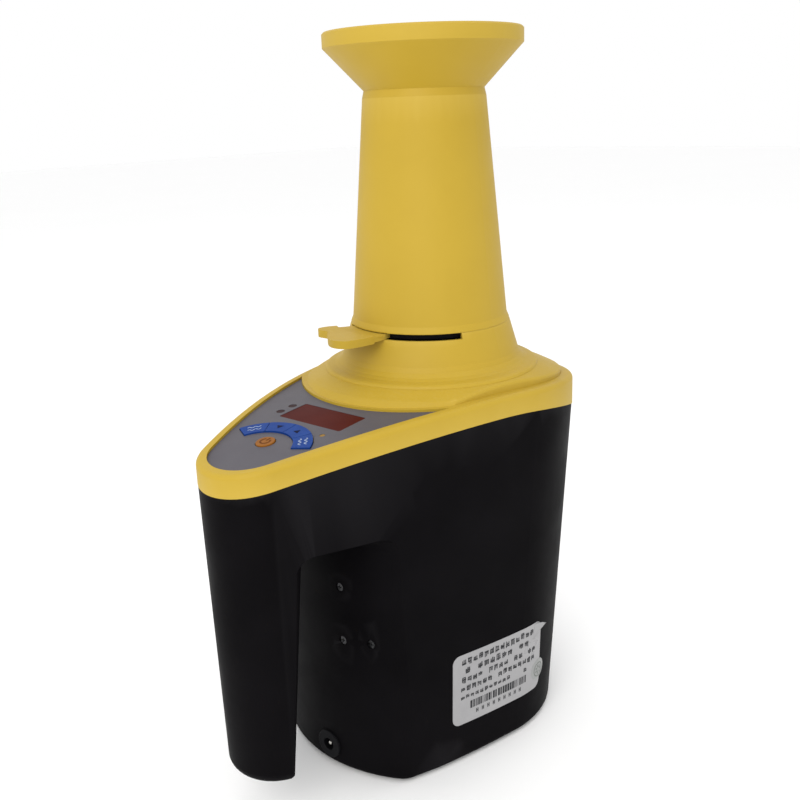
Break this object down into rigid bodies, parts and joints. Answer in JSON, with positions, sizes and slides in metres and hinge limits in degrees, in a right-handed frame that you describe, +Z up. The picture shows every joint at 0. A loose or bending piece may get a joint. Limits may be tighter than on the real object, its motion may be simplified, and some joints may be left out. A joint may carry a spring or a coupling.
{
  "type": "grain moisture meter",
  "caption": "Desk-top grain moisture meter with a lift-off filling tube, rotary shutter, weighed measuring cell, keypad and handle leg.",
  "frame": {"origin": "on the surface it stands on, under the middle of the case outline", "axes": "+Z up along the filling tube, -Y towards the nose of the control panel and the handle leg, +X towards the side with the rating label"},
  "size_m": [0.1248, 0.2144, 0.3376],
  "materials": {
    "yellow_plastic": "fine satin moulding",
    "black_plastic": "fine satin moulding",
    "rubber": "matt",
    "battery_wrap": "printed sleeve",
    "plated_steel": "bright plated",
    "dark_steel": "blackened",
    "polished_steel": "turned",
    "socket_plastic": "moulded",
    "circuit_board": "solder mask",
    "label_film": "printed paper under film",
    "aluminium": "milled",
    "brass": "turned",
    "white_plastic": "moulded",
    "panel_film": "printed film",
    "red_filter": "smoked red window",
    "led_red": "diffused",
    "led_amber": "diffused",
    "key_blue": "printed film over dome",
    "key_orange": "printed film over dome"
  },
  "bodies": {
    "case": {"base_shell": "black_plastic", "battery_box": "black_plastic", "battery_cells": "battery_wrap", "battery_contacts": "plated_steel", "board_screws": "plated_steel", "board_standoffs": "brass", "bracket_screws": "dark_steel", "cell_base": "white_plastic", "cell_board": "circuit_board", "cell_core_electrode": "polished_steel", "cell_outer_electrode": "polished_steel", "cell_posts": "brass", "cell_tray": "aluminium", "cover_screws": "plated_steel", "dc_socket_body": "socket_plastic", "dc_socket_nut": "plated_steel", "dc_socket_pin": "plated_steel", "display_module": "socket_plastic", "display_window": "red_filter", "indicator_leds": "led_red", "label_sticker": "label_film", "load_cell_beam": "aluminium", "load_cell_post": "aluminium", "load_cell_screws": "dark_steel", "main_board": "circuit_board", "main_board_screws": "plated_steel", "panel_board": "circuit_board", "panel_overlay": "panel_film", "rubber_feet": "rubber", "status_led": "led_amber", "tact_switches": "socket_plastic", "temperature_probe": "polished_steel", "top_cover": "yellow_plastic"},
    "tube": {"drop_tube": "yellow_plastic", "funnel": "yellow_plastic", "shutter_seat": "black_plastic", "foot_ring": "black_plastic", "foot_screws": "plated_steel", "pivot_screw": "plated_steel", "pivot_washer": "plated_steel", "pivot_nut": "plated_steel"},
    "shutter": {"shutter_disc": "black_plastic", "shutter_lever": "yellow_plastic"},
    "battery_door": {"battery_door": "black_plastic"},
    "power_key": {"power_key": "key_orange"},
    "key_1": {"key_1": "key_blue"},
    "key_2": {"key_2": "key_blue"},
    "key_3": {"key_3": "key_blue"},
    "key_4": {"key_4": "key_blue"}
  },
  "joints": [
    {"name": "tube_lift", "type": "slide", "parent": "case", "child": "tube", "axis": [0, 0, 1], "range_m": [0, 0.1]},
    {"name": "shutter_turn", "type": "hinge", "parent": "tube", "child": "shutter", "pos_m": [0, 0.0322, 0.204], "axis": [0, 0, 1], "range_deg": [0, 53.5]},
    {"name": "battery_door_off", "type": "slide", "parent": "case", "child": "battery_door", "axis": [0, 0, -1], "range_m": [0, 0.025]},
    {"name": "key_1_press", "type": "slide", "parent": "case", "child": "key_1", "axis": [0, 0.1627, -0.9867], "range_m": [0, 0.0004], "stiffness_N_per_m": 1200},
    {"name": "key_2_press", "type": "slide", "parent": "case", "child": "key_2", "axis": [0, 0.1627, -0.9867], "range_m": [0, 0.0004], "stiffness_N_per_m": 1200},
    {"name": "key_3_press", "type": "slide", "parent": "case", "child": "key_3", "axis": [0, 0.1627, -0.9867], "range_m": [0, 0.0004], "stiffness_N_per_m": 1200},
    {"name": "key_4_press", "type": "slide", "parent": "case", "child": "key_4", "axis": [0, 0.1627, -0.9867], "range_m": [0, 0.0004], "stiffness_N_per_m": 1200},
    {"name": "power_key_press", "type": "slide", "parent": "case", "child": "power_key", "axis": [0, 0.1627, -0.9867], "range_m": [0, 0.0004], "stiffness_N_per_m": 1200}
  ]
}
